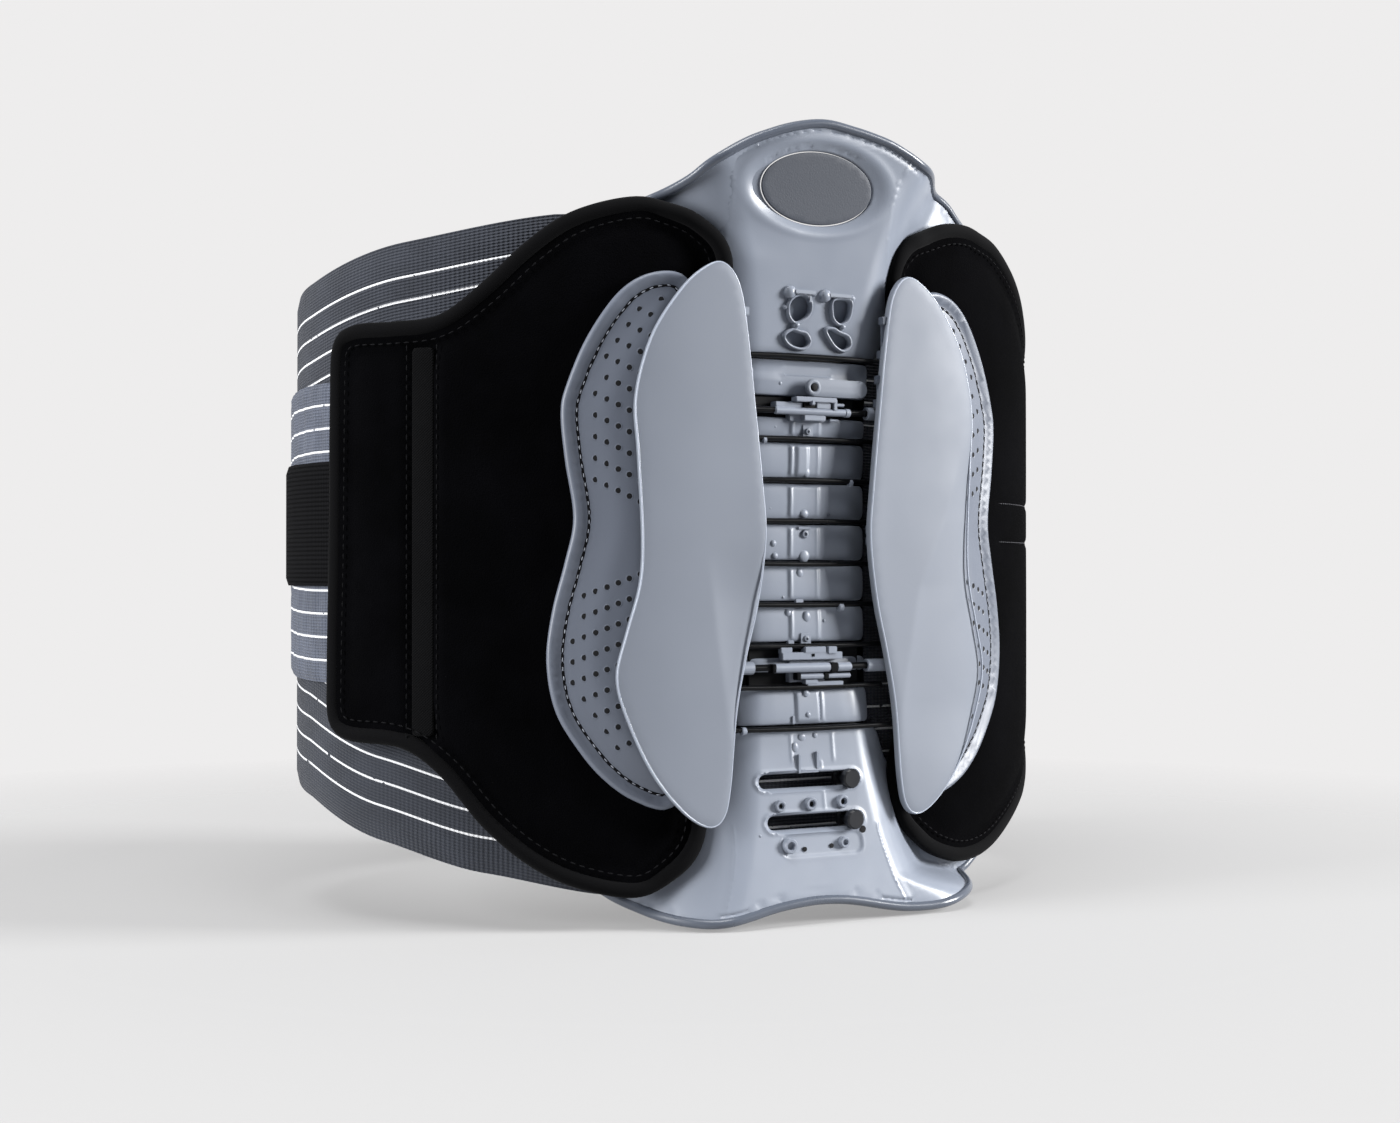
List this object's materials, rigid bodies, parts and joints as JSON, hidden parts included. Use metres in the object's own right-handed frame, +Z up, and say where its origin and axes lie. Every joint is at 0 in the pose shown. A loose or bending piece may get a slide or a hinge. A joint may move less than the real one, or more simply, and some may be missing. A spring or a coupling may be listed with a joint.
{
  "type": "lumbar support belt",
  "caption": "Waist belt with a flared back shell, segmented spine, two sliding wing covers over perforated pads, padded side panels, elastic band and front closure.",
  "frame": {"origin": "middle of the bounding box, on the floor that the belt stands on", "axes": "+Z up, the back shell faces -Y, +X to the right of someone looking at the back shell"},
  "size_m": [0.3444, 0.2555, 0.3199],
  "materials": {
    "shell_plastic": "satin grey moulded plastic",
    "wing_plastic": "satin light grey moulded plastic",
    "rim_rubber": "dull dark grey edging",
    "badge_plastic": "dark grey matt plastic",
    "pad_leather": "grey perforated coated fabric",
    "panel_fabric": "black brushed padded fabric",
    "band_elastic": "grey ribbed elastic with thin white stripes",
    "webbing_black": "black ribbed webbing",
    "hook_black": "black hook and loop fabric",
    "lace_black": "black coated cord",
    "guide_steel": "bright steel",
    "cushion_mesh": "black spacer mesh",
    "stay_plastic": "black flexible plastic strip"
  },
  "bodies": {
    "back": {"upper_shell": "shell_plastic", "lower_shell": "shell_plastic", "badge_insert": "badge_plastic", "hub_frame": "shell_plastic", "upper_rim": "rim_rubber", "lower_rim": "rim_rubber", "vertebra_1": "shell_plastic", "vertebra_2": "shell_plastic", "vertebra_3": "shell_plastic", "vertebra_4": "shell_plastic", "vertebra_5": "shell_plastic", "vertebra_6": "shell_plastic", "vertebra_7": "shell_plastic", "vertebra_8": "shell_plastic", "vertebra_9": "shell_plastic", "lace_1": "lace_black", "lace_2": "lace_black", "lace_3": "lace_black", "lace_4": "lace_black", "lace_5": "lace_black", "lace_6": "lace_black", "lace_7": "lace_black", "lace_8": "lace_black", "lace_9": "lace_black", "guide_rod_upper": "guide_steel", "guide_rod_lower": "guide_steel", "rod_clamp_upper": "shell_plastic", "rod_clamp_lower": "shell_plastic", "anchor_tab": "wing_plastic", "pad_left": "pad_leather", "pad_right": "pad_leather", "side_panel_left": "panel_fabric", "side_panel_right": "panel_fabric", "band_back": "band_elastic", "lumbar_cushion": "cushion_mesh", "stay_left": "stay_plastic", "stay_right": "stay_plastic", "shell_screw_1": "guide_steel", "shell_screw_2": "guide_steel", "shell_screw_3": "guide_steel", "shell_screw_4": "guide_steel", "shell_screw_5": "guide_steel"},
    "wing_left": {"wing_left": "wing_plastic", "wing_carrier_left": "shell_plastic"},
    "wing_right": {"wing_right": "wing_plastic", "wing_carrier_right": "shell_plastic"},
    "flap_left": {"band_flap_left": "band_elastic", "compression_strap_left": "band_elastic", "pull_webbing_left": "webbing_black", "pull_tab_left": "hook_black", "front_panel": "panel_fabric", "hook_patch": "hook_black"},
    "flap_right": {"band_flap_right": "band_elastic", "compression_strap_right": "band_elastic", "pull_webbing_right": "webbing_black", "pull_tab_right": "hook_black", "loop_patch": "hook_black"},
    "slider_upper": {"slot_slider_upper": "badge_plastic"},
    "slider_lower": {"slot_slider_lower": "badge_plastic"}
  },
  "joints": [
    {"name": "wing_left_slide", "type": "slide", "parent": "back", "child": "wing_left", "axis": [1, 0, 0], "range_m": [0, 0.005]},
    {"name": "wing_right_slide", "type": "slide", "parent": "back", "child": "wing_right", "axis": [-1, 0, 0], "range_m": [0, 0.005]},
    {"name": "flap_left_open", "type": "hinge", "parent": "back", "child": "flap_left", "pos_m": [-0.1703, -0.015, 0.15], "axis": [0, 0, 1], "range_deg": [0, 60]},
    {"name": "flap_right_open", "type": "hinge", "parent": "back", "child": "flap_right", "pos_m": [0.1703, -0.015, 0.15], "axis": [0, 0, -1], "range_deg": [0, 30]},
    {"name": "slider_upper_slide", "type": "slide", "parent": "back", "child": "slider_upper", "axis": [-1, 0, 0], "range_m": [0, 0.036]},
    {"name": "slider_lower_slide", "type": "slide", "parent": "back", "child": "slider_lower", "axis": [-1, 0, 0], "range_m": [0, 0.034]}
  ],
  "couplings": [
    {"joint": "wing_right_slide", "follows": "wing_left_slide", "ratio": 1},
    {"joint": "flap_right_open", "follows": "flap_left_open", "ratio": 0.5}
  ]
}
